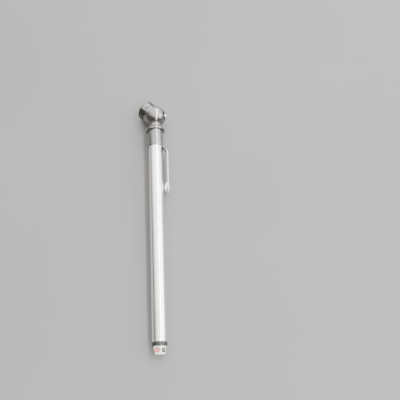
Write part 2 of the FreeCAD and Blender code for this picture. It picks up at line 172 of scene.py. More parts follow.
class Finish:
    def __init__(self, name, metallic=0.0):
        self.material = bpy.data.materials.new(name)
        self.material.use_nodes = True
        self.tree = self.material.node_tree
        self.shader = self.tree.nodes["Principled BSDF"]
        self.shader.inputs["Metallic"].default_value = metallic

    def node(self, kind, settings, inputs, output=0):
        made = self.tree.nodes.new(kind)
        for key, value in settings.items():
            setattr(made, key, value)
        for key, value in inputs.items():
            if isinstance(value, Field):
                self.tree.links.new(value.socket, made.inputs[key])
            else:
                made.inputs[key].default_value = value
        return Field(self, made.outputs[output])

    def spot(self):
        return self.node("ShaderNodeTexCoord", {}, {}, 3)

    def place(self, stretch):
        return self.node("ShaderNodeMapping", {}, {0: self.spot(), 3: stretch})

    def noise(self, stretch, detail=2.0, rough=0.5):
        return self.node("ShaderNodeTexNoise", {}, {"Vector": self.place(stretch), "Scale": 1.0,
                                                    "Detail": detail, "Roughness": rough})

    def pits(self, scale, size):  # 1 inside small round specks
        spread = self.place((scale, scale, scale))
        cell = self.node("ShaderNodeTexVoronoi", {}, {"Vector": spread, "Scale": 1.0})
        return self.ramp(cell, size, size * 0.5)

    def ramp(self, value, low, high):  # 0 at low, 1 at high, smooth between
        smooth = {"interpolation_type": "SMOOTHSTEP"}
        return self.node("ShaderNodeMapRange", smooth, {0: value, 1: low, 2: high})

    # a fade over one listed place of painted shade and painted highlight
    def wear(self, distance, name):
        low, high = paintedLightPlaces[name]
        return self.ramp(distance, low * mm, high * mm)

    def blend(self, share, first, second):
        return self.node("ShaderNodeMix", {"data_type": "RGBA"}, {0: share, 6: first, 7: second}, 2)

    def put(self, name, value):
        if isinstance(value, Field):
            self.tree.links.new(value.socket, self.shader.inputs[name])
        else:
            self.shader.inputs[name].default_value = value

    def relief(self, height, depth):
        bump = {"Strength": 1.0, "Distance": depth, "Height": height}
        self.put("Normal", self.node("ShaderNodeBump", {}, bump))

    def vectors(self, operation, first, second=(0, 0, 0), output=0):
        return self.node("ShaderNodeVectorMath", {"operation": operation}, {0: first, 1: second}, output)

    def axisDistance(self, start, along):  # distance from a line through start
        fromStart = self.vectors("SUBTRACT", self.spot(), start)
        return self.vectors("LENGTH", self.vectors("CROSS_PRODUCT", fromStart, along), output=1)

    def alongDistance(self, start, along):  # height over a plane through start
        return self.vectors("DOT_PRODUCT", self.vectors("SUBTRACT", self.spot(), start), along, 1)


def grey(level, warm=0.0):
    return (level * (1 + warm), level, level * (1 - warm), 1.0)


mm = 0.001
headTurn = math.radians(10.0)
chuckAngle = math.radians(48.0)
nubAngle = math.radians(-92.0)
ballStation = 145.9
shoulderStation = 134.7
armHighlightStation = 118.5  # the clip's arm carries a painted highlight from here down, which fades to satin above
paintedLightPlaces = {  # start and end of each fade of painted shade and painted highlight, in millimetres
    "neckShadeOut": (4.3, 5.6), "neckShadeTop": (5.6, 7.4), "neckShadeFoot": (1.6, 2.4),
    "recessShadeOut": (3.05, 3.3), "recessShadeUp": (4.7, 5.1), "nubFootShade": (5.4, 6.1),
    "ribCrestLit": (6.16, 6.24), "grooveTop": (5.9, 6.1), "grooveFloor": (5.4, 5.6),
    "armHighlightFade": (0.0, 3.5),
}


def station(value):
    return openEnd + value * mm


tubeFrame = Matrix.Translation((axisX, openEnd, axisZ))


def ballFrame(angle):  # a piece drawn up +Y from the ball's centre
    return (Matrix.Translation((axisX, station(ballStation), axisZ)) @ Matrix.Rotation(-headTurn, 4, "Y")
            @ Matrix.Rotation(angle, 4, "Z"))


chuckFrame = ballFrame(chuckAngle)
nubFrame = ballFrame(nubAngle)
ballCentre = chuckFrame.to_translation()
chuckAxis = chuckFrame.to_3x3() @ Vector((0, 1, 0))
nubAxis = nubFrame.to_3x3() @ Vector((0, 1, 0))


tubeLook = {
    "clean": grey(0.93), "smeared": grey(0.86, 0.012),
    "rough": 0.13, "drawnRough": 0.08, "smearRough": 0.07, "speckRough": 0.12, "relief": 0.0000012,
}


def tubePlating():
    look = tubeLook
    f = Finish("tubePlating", 1.0)
    drawn = f.noise((7000, 90, 7000), 3)  # lines from drawing the tube, along its length
    smear = f.noise((260, 90, 260), 3, 0.6)  # handling marks
    specks = f.pits(900, 0.10)
    f.put("Base Color", f.blend(f.ramp(smear, 0.35, 0.7), look["clean"], look["smeared"]))
    handled = f.ramp(smear, 0.5, 0.8) * look["smearRough"]
    f.put("Roughness", look["rough"] + drawn * look["drawnRough"] + handled + specks * look["speckRough"])
    f.relief(drawn * 0.5 + smear * 1.5 - specks, look["relief"])
    return f.material


headLook = {
    "plate": grey(0.20, 0.01), "clouded": grey(0.155, 0.03),
    # recess and grime are painted shade: near black in the nub's recess, brown blotches in the neck
    # between collar and ball
    "recess": grey(0.015, 0.05), "grime": grey(0.07, 0.12), "grimeShare": 0.7,
    "rough": 0.16, "cloudRough": 0.09, "speckRough": 0.15, "grimeRough": 0.35, "recessRough": 0.4,
    "coat": 0.8, "coatRough": 0.05, "relief": 0.000006,
}


def headPlating():
    look = headLook
    f = Finish("headPlating", 1.0)
    cloud = f.noise((210, 210, 210), 4, 0.55)
    ripple = f.noise((420, 420, 420), 1)  # the polished casting's slight waves
    specks = f.pits(1100, 0.16)
    fromTube = f.axisDistance((axisX, 0, axisZ), (0, 1, 0))
    up = f.alongDistance((axisX, station(shoulderStation), axisZ), (0, 1, 0))
    # painted shade in the neck between the collar and the ball, broken into blotches
    neck = (1 - f.wear(fromTube, "neckShadeOut")) * (1 - f.wear(up, "neckShadeTop")) * f.wear(up, "neckShadeFoot")
    grime = neck * f.ramp(f.noise((900, 900, 900), 3), 0.35, 0.65)
    fromNub = f.axisDistance(tuple(ballCentre), tuple(nubAxis))
    outNub = f.alongDistance(tuple(ballCentre), tuple(nubAxis))
    # painted shade: the nub's recess is darkened to near black
    recess = (1 - f.wear(fromNub, "recessShadeOut")) * f.wear(outNub, "recessShadeUp")
    plate = f.blend(f.ramp(cloud, 0.35, 0.72), look["plate"], look["clouded"])
    plate = f.blend(recess, plate, look["recess"])
    f.put("Base Color", f.blend(grime * look["grimeShare"], plate, look["grime"]))
    plain = look["rough"] + f.ramp(cloud, 0.4, 0.75) * look["cloudRough"] + specks * look["speckRough"]
    f.put("Roughness", plain + grime * look["grimeRough"] + recess * look["recessRough"])
    f.put("Coat Weight", look["coat"])
    f.put("Coat Roughness", look["coatRough"])
    f.relief(ripple * 2.2 + cloud - specks * 0.8, look["relief"])
    return f.material


ringLook = {
    # painted shade: the ring is near black away from the rib crests and darkest in the grooves; only the
    # crests keep a lighter chrome
    "groove": grey(0.02, 0.03), "crest": grey(0.46, 0.01), "grooveShade": grey(0.008, 0.1),
    "rough": 0.07, "cloudRough": 0.04, "grooveRough": 0.3, "coatRough": 0.06, "relief": 0.000003,
}


def ringPlating():
    look = ringLook
    f = Finish("ringPlating", 1.0)
    cloud = f.noise((300, 300, 300), 2)
    fromAxis = f.axisDistance(tuple(ballCentre), tuple(chuckAxis))
    # the lighter rib crests, set against painted shade elsewhere
    crest = f.wear(fromAxis, "ribCrestLit")
    hollow = (1 - f.wear(fromAxis, "grooveTop")) * f.wear(fromAxis, "grooveFloor")
    # painted shade in the grooves, varied by noise
    grooveShade = hollow * (0.6 + cloud * 0.4)
    plate = f.blend(crest, look["groove"], look["crest"])
    f.put("Base Color", f.blend(grooveShade, plate, look["grooveShade"]))
    f.put("Roughness", look["rough"] + cloud * look["cloudRough"] + hollow * look["grooveRough"])
    f.put("Coat Weight", crest)
    f.put("Coat Roughness", look["coatRough"])
    f.relief(cloud, look["relief"])
    return f.material


nubLook = {
    # top is a painted highlight, far lighter than the head's chrome; foot is painted shade inside the
    # recess
    "top": grey(0.88), "foot": grey(0.3, 0.05), "footShadeShare": 0.6,
    "rough": 0.08, "cloudRough": 0.1, "footRough": 0.3, "relief": 0.000003,
}


def nubPlating():
    look = nubLook
    f = Finish("nubPlating", 1.0)
    cloud = f.noise((900, 900, 900), 3)
    up = f.alongDistance(tuple(ballCentre), tuple(nubAxis))
    # painted shade on the nub's foot, below the flat, inside the recess
    foot = 1 - f.wear(up, "nubFootShade")
    f.put("Base Color", f.blend(foot * look["footShadeShare"], look["top"], look["foot"]))
    f.put("Roughness", look["rough"] + cloud * look["cloudRough"] + foot * look["footRough"])
    f.relief(cloud, look["relief"])
    return f.material


clipLook = {
    # bright is a painted highlight on the arm and its bowl
    "satin": grey(0.175), "satinClouded": grey(0.14, 0.01), "bright": grey(0.82),
    "rough": 0.10, "satinRough": 0.14, "grainRough": 0.10, "scuffRough": 0.12,
    "coat": 1.0, "coatRough": 0.03, "relief": 0.000004,
}


def clipSteel():
    look = clipLook
    f = Finish("clipSteel", 1.0)
    grain = f.noise((5200, 160, 5200), 3)  # rolled sheet, brushed along the tube
    cloud = f.noise((320, 200, 320), 3)
    scuff = f.ramp(f.noise((1500, 420, 1500), 2, 0.7), 0.64, 0.72)
    up = f.alongDistance((axisX, station(armHighlightStation), axisZ), (0, 1, 0))
    band = f.wear(up, "armHighlightFade")  # painted highlight: the arm is painted bright, the band stays satin
    satin = f.blend(f.ramp(cloud, 0.35, 0.7), look["satin"], look["satinClouded"])
    f.put("Base Color", f.blend(band, look["bright"], satin))
    marks = grain * look["grainRough"] + scuff * look["scuffRough"]
    f.put("Roughness", look["rough"] + band * look["satinRough"] + marks)
    f.put("Coat Weight", look["coat"])
    f.put("Coat Roughness", look["coatRough"])
    f.relief(grain + cloud * 0.6 - scuff * 0.5, look["relief"])
    return f.material


guideLook = {
    "plain": grey(0.022), "rubbed": grey(0.055, 0.02), "shine": 0.3,
    "rough": 0.28, "grainRough": 0.12, "rubRough": 0.18, "relief": 0.000006,
}


def guidePlastic():
    look = guideLook
    f = Finish("guidePlastic")
    grain = f.noise((3800, 3800, 3800), 2)
    rub = f.ramp(f.noise((700, 700, 700), 3, 0.6), 0.55, 0.72)
    f.put("Base Color", f.blend(rub, look["plain"], look["rubbed"]))
    f.put("Roughness", look["rough"] + grain * look["grainRough"] + rub * look["rubRough"])
    f.put("Specular IOR Level", look["shine"])
    f.relief(grain + rub * 0.6, look["relief"])
    return f.material


barLook = {
    "white": (0.86, 0.85, 0.82, 1), "aged": (0.79, 0.775, 0.735, 1),
    "grime": (0.5, 0.47, 0.42, 1), "grimeShare": 0.35,
    "rough": 0.34, "slideRough": 0.16, "grimeRough": 0.12, "relief": 0.000004,
    "depth": 0.08, "depthRadius": (0.001, 0.0008, 0.0006),  # light entering the plastic, in metres
}


def barPlastic():
    look = barLook
    f = Finish("barPlastic")
    slideMarks = f.noise((6000, 70, 6000), 3)  # fine rubs from the guide
    cloud = f.noise((260, 120, 260), 3)
    grime = f.ramp(f.noise((900, 240, 900), 3, 0.65), 0.58, 0.78)
    white = f.blend(f.ramp(cloud, 0.35, 0.7), look["white"], look["aged"])
    f.put("Base Color", f.blend(grime * look["grimeShare"], white, look["grime"]))
    marks = slideMarks * look["slideRough"] + grime * look["grimeRough"]
    f.put("Roughness", look["rough"] + marks)
    f.put("Subsurface Weight", look["depth"])
    f.put("Subsurface Radius", look["depthRadius"])
    f.relief(slideMarks + cloud * 0.5, look["relief"])
    return f.material


inkLook = {
    "redInk": {"strong": (0.62, 0.055, 0.06, 1), "faded": (0.78, 0.33, 0.31, 1)},
    "darkInk": {"strong": (0.02, 0.018, 0.018, 1), "faded": (0.16, 0.13, 0.12, 1)},
    "rough": 0.42, "wearRough": 0.2, "relief": 0.000003,
}


def printInk(name):
    look = inkLook
    f = Finish(name)
    # the print's own wear
    wear = f.ramp(f.noise((1600, 700, 1600), 4, 0.65), 0.48, 0.78)
    f.put("Base Color", f.blend(wear, look[name]["strong"], look[name]["faded"]))
    f.put("Roughness", look["rough"] + wear * look["wearRough"])
    f.relief(wear, look["relief"])
    return f.material


rubberLook = {
    "black": grey(0.018), "bloomed": grey(0.05, 0.03), "rough": 0.62, "grainRough": 0.2, "relief": 0.00001,
}


def sealRubber():
    look = rubberLook
    f = Finish("sealRubber")
    grain = f.noise((5200, 5200, 5200), 3)
    bloom = f.ramp(f.noise((700, 700, 700), 3), 0.45, 0.75)
    f.put("Base Color", f.blend(bloom, look["black"], look["bloomed"]))
    f.put("Roughness", look["rough"] + grain * look["grainRough"])
    f.relief(grain, look["relief"])
    return f.material


brassLook = {
    "bright": (0.74, 0.56, 0.27, 1), "dull": (0.50, 0.34, 0.15, 1),
    "rough": 0.26, "turnedRough": 0.14, "dullRough": 0.15, "relief": 0.000004,
}


def innerBrass():
    look = brassLook
    f = Finish("innerBrass", 1.0)
    cloud = f.noise((600, 600, 600), 4)
    turned = f.noise((4200, 900, 4200), 2)
    f.put("Base Color", f.blend(f.ramp(cloud, 0.35, 0.7), look["bright"], look["dull"]))
    dull = f.ramp(cloud, 0.5, 0.75) * look["dullRough"]
    f.put("Roughness", look["rough"] + turned * look["turnedRough"] + dull)
    f.relief(turned, look["relief"])
    return f.material


springLook = {
    "wire": grey(0.52), "stain": (0.36, 0.31, 0.26, 1),
    "rough": 0.25, "drawnRough": 0.12, "stainRough": 0.15, "relief": 0.000003,
}


def springWire():
    look = springLook
    f = Finish("springWire", 1.0)
    drawn = f.noise((3000, 3000, 3000), 3)
    stain = f.ramp(f.noise((240, 240, 240), 3), 0.5, 0.75)
    f.put("Base Color", f.blend(stain, look["wire"], look["stain"]))
    f.put("Roughness", look["rough"] + drawn * look["drawnRough"] + stain * look["stainRough"])
    f.relief(drawn, look["relief"])
    return f.material


pistonLook = {
    "plain": grey(0.05), "sheen": grey(0.09), "rough": 0.38, "grainRough": 0.15, "relief": 0.000008,
}


def pistonPlastic():
    look = pistonLook
    f = Finish("pistonPlastic")
    grain = f.noise((2600, 2600, 2600), 3)
    sheen = f.ramp(f.noise((500, 500, 500), 2), 0.4, 0.7)
    f.put("Base Color", f.blend(sheen, look["plain"], look["sheen"]))
    f.put("Roughness", look["rough"] + grain * look["grainRough"])
    f.relief(grain, look["relief"])
    return f.material


floorLook = {
    "light": grey(0.155, 0.004), "clouded": grey(0.148, 0.006), "rough": 0.75, "grainRough": 0.1,
    "relief": 0.00002,
}


def studioFloor():
    look = floorLook
    f = Finish("studioFloor")
    cloud = f.noise((9, 9, 9), 3)
    grain = f.noise((900, 900, 900), 2)
    f.put("Base Color", f.blend(f.ramp(cloud, 0.3, 0.7), look["light"], look["clouded"]))
    f.put("Roughness", look["rough"] + grain * look["grainRough"])
    f.relief(grain, look["relief"])
    return f.material


finishes = {
    "tube": tubePlating(),
    "head": headPlating(),
    "ring": ringPlating(),
    "nub": nubPlating(),
    "clip": clipSteel(),
    "guide": guidePlastic(),
    "bar": barPlastic(),
    "redInk": printInk("redInk"),
    "darkInk": printInk("darkInk"),
    "rubber": sealRubber(),
    "brass": innerBrass(),
    "spring": springWire(),
    "piston": pistonPlastic(),
    "floor": studioFloor(),
}
print("stage 2: finishes made")


def addFloor():
    clearSelection()
    lowest = Vector(cadBox[0]).z
    bpy.ops.mesh.primitive_plane_add(size=studio["floorSize"], location=(0, 0, lowest))
    floor = bpy.context.object
    floor.name = "studioFloorSheet"
    headLow = Vector(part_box("chuck_nose_ring")[0])
    lean = math.radians(studio["floorTilt"])
    turn = Matrix.Rotation(-lean, 4, "X")
    pivot = Vector((0, headLow.y, lowest - studio["floorGap"]))
    floor.matrix_world = Matrix.Translation(pivot) @ turn
    floor.data.materials.append(finishes["floor"])


def addSky():
    world = bpy.data.worlds.new("studioAir")
    bpy.context.scene.world = world
    world.use_nodes = True
    tree = world.node_tree
    spot = tree.nodes.new("ShaderNodeTexCoord")
    facing = tree.nodes.new("ShaderNodeVectorMath")
    facing.operation = "DOT_PRODUCT"
    facing.inputs[1].default_value = studio["skyTowards"]
    spread = tree.nodes.new("ShaderNodeMapRange")
    spread.interpolation_type = "SMOOTHSTEP"
    spread.inputs["From Min"].default_value, spread.inputs["From Max"].default_value = studio["skyEdges"]
    air = tree.nodes.new("ShaderNodeMix")
    air.data_type = "RGBA"
    air.inputs[6].default_value = studio["skyLow"]
    air.inputs[7].default_value = studio["skyHigh"]
    tree.links.new(spot.outputs["Generated"], facing.inputs[0])
    tree.links.new(facing.outputs["Value"], spread.inputs["Value"])
    tree.links.new(spread.outputs[0], air.inputs[0])
    tree.links.new(air.outputs[2], tree.nodes["Background"].inputs["Color"])


addFloor()
addSky()


def startPoint(name, where):  # a piece of one vertex, left in edit mode
    clearSelection()
    bpy.ops.mesh.primitive_plane_add(size=mm)
    piece = bpy.context.object
    piece.name = name
    bpy.ops.object.mode_set(mode="EDIT")
    bpy.ops.mesh.select_mode(type="VERT")
    bpy.ops.mesh.select_all(action="SELECT")
    bpy.ops.mesh.merge(type="CENTER")
    bpy.ops.transform.translate(value=where)
    return piece


def turnedPiece(name, outline, steps=128, closed=False):
    # a chain of points (radius, height) in millimetres, spun about Y
    here = Vector((outline[0][0], outline[0][1], 0)) * mm
    piece = startPoint(name, here)
    for radius, height in outline[1:] + (outline[:1] if closed else []):
        there = Vector((radius, height, 0)) * mm
        bpy.ops.mesh.extrude_region_move(TRANSFORM_OT_translate={"value": there - here})
        here = there
    bpy.ops.mesh.select_all(action="SELECT")
    bpy.ops.mesh.spin(steps=steps, angle=2 * math.pi, center=(0, 0, 0), axis=(0, 1, 0))
    bpy.ops.mesh.select_all(action="SELECT")
    bpy.ops.mesh.remove_doubles(threshold=0.000002)
    bpy.ops.mesh.normals_make_consistent(inside=False)
    bpy.ops.object.mode_set(mode="OBJECT")
    return piece


def arc(centre, radii, fromAngle, toAngle, count):
    points = []
    for i in range(count + 1):
        angle = math.radians(fromAngle + (toAngle - fromAngle) * i / count)
        points.append((centre[0] + radii[0] * math.cos(angle), centre[1] + radii[1] * math.sin(angle)))
    return points


def applyModifier(piece, kind, **settings):
    choose(piece)
    change = piece.modifiers.new("shape", kind)
    for key, value in settings.items():
        setattr(change, key, value)
    bpy.ops.object.modifier_apply(modifier=change.name)


def soften(piece, width, segments=2, angle=35):
    applyModifier(piece, "BEVEL", width=width * mm, segments=segments, limit_method="ANGLE",
                  angle_limit=math.radians(angle), harden_normals=False)


def carve(piece, cutter, operation="DIFFERENCE"):
    applyModifier(piece, "BOOLEAN", object=cutter, operation=operation, solver="EXACT")
    bpy.data.objects.remove(cutter)


def settle(piece, where):
    choose(piece)
    piece.matrix_world = where
    bpy.ops.object.transform_apply(location=True, rotation=True, scale=True)
    return piece


def dress(piece, finish, angle=32):
    choose(piece)
    bpy.ops.object.shade_smooth_by_angle(angle=math.radians(angle))
    piece.data.materials.clear()
    piece.data.materials.append(finishes[finish])


def place(piece, where, finish, slot, body, *nodes):
    settle(piece, where)
    dress(piece, finish)
    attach(piece, body)
    if nodes:
        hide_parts(*nodes)


tubeSizes = {
    "outer": 4.5, "wall": 0.35, "length": 134.7, "lip": 0.25,
    "crimpDrop": 3.6, "crimpWidth": 1.6, "crimpDepth": 0.35,
    "boreEase": 0.1, "boreEaseWidth": 0.06,
}


def makeTube():
    t = tubeSizes
    inner = t["outer"] - t["wall"]
    middle = t["length"] - t["crimpDrop"]
    half = t["crimpWidth"] / 2
    outside = [(0, middle - half), (t["crimpDepth"], middle - half + t["crimpDepth"]),
               (t["crimpDepth"], middle + half - t["crimpDepth"]), (0, middle + half)]
    outline = [(inner, t["boreEase"]), (inner + t["boreEaseWidth"], 0)]
    outline += arc((t["outer"] - t["lip"], t["lip"]), (t["lip"], t["lip"]), -90, 0, 5)
    outline += [(t["outer"] - depth, height) for depth, height in outside]
    outline += [(t["outer"], t["length"]), (inner, t["length"])]
    outline += [(inner - depth, height) for depth, height in reversed(outside)]
    tube = turnedPiece("polishedTube", outline, closed=True)
    place(tube, tubeFrame, "tube", "polished_tube", "barrel", "barrel_tube")


makeTube()


headSizes = {
    "shoulder": shoulderStation, "spigotEnd": 125.7, "spigot": 4.14, "neckDrop": 4,
    "collar": 6.2, "collarHeight": 1.6, "collarRound": 0.5,
    "waist": 4.0, "waistHeight": 4.2, "ball": 7.1,
    "barrel": 6.2, "blend": 5.0, "barrelEnd": 5.0,
    "seat": 5.0, "seatFloor": 1.6, "chamber": 2.4, "chamberFloor": 0.2,
    "flat": 6.1, "recess": 3.1, "recessDepth": 0.9, "recessRound": 0.25,
    "nub": 1.3, "nubStand": 1.7, "nubDome": 0.7, "stem": 0.8, "stemLength": 1.8,
    "edge": 0.16, "nubEdge": 0.1,
}


def stemOutline(floor):  # the nub's stem, sunk into the ball below the recess
    h = headSizes
    return [(0, floor - h["stemLength"]), (h["stem"], floor - h["stemLength"]), (h["stem"], floor)]


def makeHead():
    h = headSizes
    top = h["shoulder"] + h["collarHeight"]
    r = h["collarRound"]
    waistTop = h["shoulder"] + h["waistHeight"]
    step = h["collar"] - r - h["waist"]
    outline = [(0, h["spigotEnd"]), (h["spigot"], h["spigotEnd"]), (h["spigot"], h["shoulder"])]
    outline += arc((h["collar"] - r, h["shoulder"] + r), (r, r), -90, 0, 6)
    outline += arc((h["collar"] - r, top - r), (r, r), 0, 90, 6)
    outline += arc((h["collar"] - r, waistTop), (step, waistTop - top), -100, -180, 9)
    neckShadeTop = ballStation - h["neckDrop"]  # inside the ball
    outline += [(h["waist"], neckShadeTop), (0, neckShadeTop)]
    neck = turnedPiece("headNeck", outline, 160)
    settle(neck, tubeFrame)
    # ball, blend and chuck barrel, turned about the chuck's own axis
    blend = h["blend"]
    rise = math.sqrt((h["ball"] + blend) ** 2 - (h["barrel"] + blend) ** 2)
    meet = math.degrees(math.atan2(rise, h["barrel"] + blend))
    outline = arc((0, 0), (h["ball"], h["ball"]), -90, meet, 64)
    outline += arc((h["barrel"] + blend, rise), (blend, blend), 180 + meet, 180, 8)
    outline += [(h["barrel"], h["barrelEnd"]), (h["seat"], h["barrelEnd"]), (h["seat"], h["seatFloor"]),
                (h["chamber"], h["seatFloor"]), (h["chamber"], h["chamberFloor"]), (0, h["chamberFloor"])]
    head = turnedPiece("chromeHead", outline, 160)
    settle(head, chuckFrame)
    carve(head, neck, "UNION")
    floor = h["flat"] - h["recessDepth"]
    outline = stemOutline(floor)
    over = h["ball"] + 1
    outline += [(h["recess"] - h["recessRound"], floor), (h["recess"], floor + h["recessRound"]),
                (h["recess"], h["flat"]), (h["ball"], h["flat"]), (h["ball"], over), (0, over)]
    recess = turnedPiece("recessCutter", outline, 96)
    carve(head, settle(recess, nubFrame))
    soften(head, h["edge"], 3, 38)
    place(head, Matrix.Identity(4), "head", "head_chrome", "barrel", "head_casting")


def makeNub():
    h = headSizes
    floor = h["flat"] - h["recessDepth"]
    top = h["flat"] + h["nubStand"]
    ball = (h["nub"] ** 2 + h["nubDome"] ** 2) / (2 * h["nubDome"])
    reach = math.degrees(math.asin(h["nub"] / ball))
    outline = stemOutline(floor) + [(h["nub"], floor)]
    outline += arc((0, top - ball), (ball, ball), 90 - reach, 90, 12)
    nub = turnedPiece("bleedNub", outline, 64)
    soften(nub, h["nubEdge"])
    place(nub, nubFrame, "nub", "nub_metal", "barrel", "deflator_nub")


makeHead()
makeNub()


chuckSizes = {
    "sealFloor": 2.4, "sealTop": 4.4, "sealHole": 1.7, "seat": 4.96,
    "lipOuter": 1.6, "lipMiddle": 1.1, "lipInner": 0.5, "lipDip": 0.12, "holeBevel": 0.5,
    "bore": 4.15, "undercut": 0.25, "boreStart": 5.8, "end": 9.8, "mouthBevel": 0.5, "endBevel": 0.25,
    "spigot": 5.0, "ringStart": 5.0, "groove": 5.85, "crest": 6.3, "ribCount": 3, "grooveWidth": 0.8,
    "pin": 0.75, "pinTail": 1.2, "pinTip": 5.6, "pinBevel": 0.3,
    "ringEdge": 0.07, "sealEdge": 0.08, "pinEdge": 0.08,
}


def makeNoseRing():
    c = chuckSizes
    pitch = (c["end"] - c["ringStart"] - c["grooveWidth"]) / c["ribCount"]
    half = (pitch - c["grooveWidth"]) / 2
    outline = [(c["bore"] + c["undercut"], c["sealTop"]), (c["spigot"], c["sealTop"]),
               (c["spigot"], c["ringStart"]), (c["groove"], c["ringStart"])]
    for i in range(c["ribCount"]):
        middle = c["ringStart"] + c["grooveWidth"] + half + i * pitch
        outline += arc((c["groove"], middle), (c["crest"] - c["groove"], half), -90, 90, 9)
    outline += [(c["groove"], c["end"] - c["endBevel"]), (c["groove"] - c["endBevel"], c["end"]),
                (c["bore"] + c["mouthBevel"], c["end"]), (c["bore"], c["end"] - c["mouthBevel"]),
                (c["bore"], c["boreStart"]), (c["bore"] + c["undercut"], c["boreStart"])]
    ring = turnedPiece("ribbedNoseRing", outline, 160, closed=True)
    soften(ring, c["ringEdge"], 2, 40)
    place(ring, chuckFrame, "ring", "head_chrome", "barrel", "chuck_nose_ring")


def makeSeal():
    c = chuckSizes
    hole, top = c["sealHole"], c["sealTop"]
    outline = [(hole, c["sealFloor"]), (c["seat"], c["sealFloor"]), (c["seat"], top),
               (hole + c["lipOuter"], top), (hole + c["lipMiddle"], top - c["lipDip"]),
               (hole + c["lipInner"], top), (hole, top - c["holeBevel"])]
    seal = turnedPiece("chuckSealRing", outline, 96, closed=True)
    soften(seal, c["sealEdge"])
    place(seal, chuckFrame, "rubber", "seal_rubber", "barrel", "chuck_seal")


def makePin():
    c = chuckSizes
    outline = [(0, c["pinTail"]), (c["pin"], c["pinTail"]), (c["pin"], c["pinTip"] - c["pinBevel"]),
               (c["pin"] - c["pinBevel"], c["pinTip"]), (0, c["pinTip"])]
    pin = turnedPiece("valveCorePin", outline, 48)
    soften(pin, c["pinEdge"])
    place(pin, chuckFrame, "brass", "inner_brass", "barrel", "depressor_pin")


makeNoseRing()
makeSeal()
makePin()
print("stage 3: tube and head made")


clipSizes = {
    "sheet": 0.45, "bandRadius": 4.725, "bandTop": 133.7, "bandBottom": 123.6,
    "seam": 0.25, "seamAngle": 200, "steps": 108, "armSteps": 8, "bandRows": 6,
    "leadStation": 123.35, "leadOut": 0.005, "rootStation": 123.025, "rootOut": 0.05,
    "flatStart": 0.55, "flatStep": 0.3,  # how fast the round band turns into the flat arm
    "armOut": 7.575, "slope": 3.2, "bend": 1.0, "tip": 92.1, "tipRound": 1.2, "armRows": 12,
    "bowlStation": 95.4, "bowlLength": 4.0, "bowlWidth": 1.9, "bowlDepth": 2.35,
    "bowlRows": 28, "bowlMargin": 0.4, "edge": 0.09,
}


def selectWhere(piece, test):
    # edit mode on, only the vertices that pass are selected
    choose(piece)
    bpy.ops.object.mode_set(mode="EDIT")
    bpy.ops.mesh.select_mode(type="VERT")
    bpy.ops.mesh.select_all(action="DESELECT")
    bpy.ops.object.mode_set(mode="OBJECT")
    for vertex in piece.data.vertices:
        vertex.select = test(vertex.co)
    bpy.ops.object.mode_set(mode="EDIT")


def armRows():
    # (station, distance out from the tube's axis) down the arm
    c = clipSizes
    inward = c["bandRadius"] + c["rootOut"]
    knee = (c["rootStation"] - c["slope"], c["armOut"])
    slope = math.atan2(c["armOut"] - inward, c["slope"])
    trim = c["bend"] * math.tan(slope / 2)
    rows = [(c["leadStation"], c["bandRadius"] + c["leadOut"]), (c["rootStation"], inward)]
    run = c["slope"] / math.cos(slope) - trim
    for share in (0.33, 0.66, 1.0):
        rows.append((c["rootStation"] - run * share * math.cos(slope),
                     inward + run * share * math.sin(slope)))
    centre = (knee[0] - trim, c["armOut"] - c["bend"])
    for share in (0.75, 0.5, 0.25, 0.0):
        rows.append((centre[0] + c["bend"] * math.sin(slope * share),
                     centre[1] + c["bend"] * math.cos(slope * share)))
    low = c["bowlStation"] + c["bowlLength"] + c["bowlMargin"]
    for first, last, count in ((rows[-1][0], low, c["armRows"]), (low, c["tip"], c["bowlRows"])):
        rows += [(first + (last - first) * i / count, c["armOut"]) for i in range(1, count + 1)]
    return rows


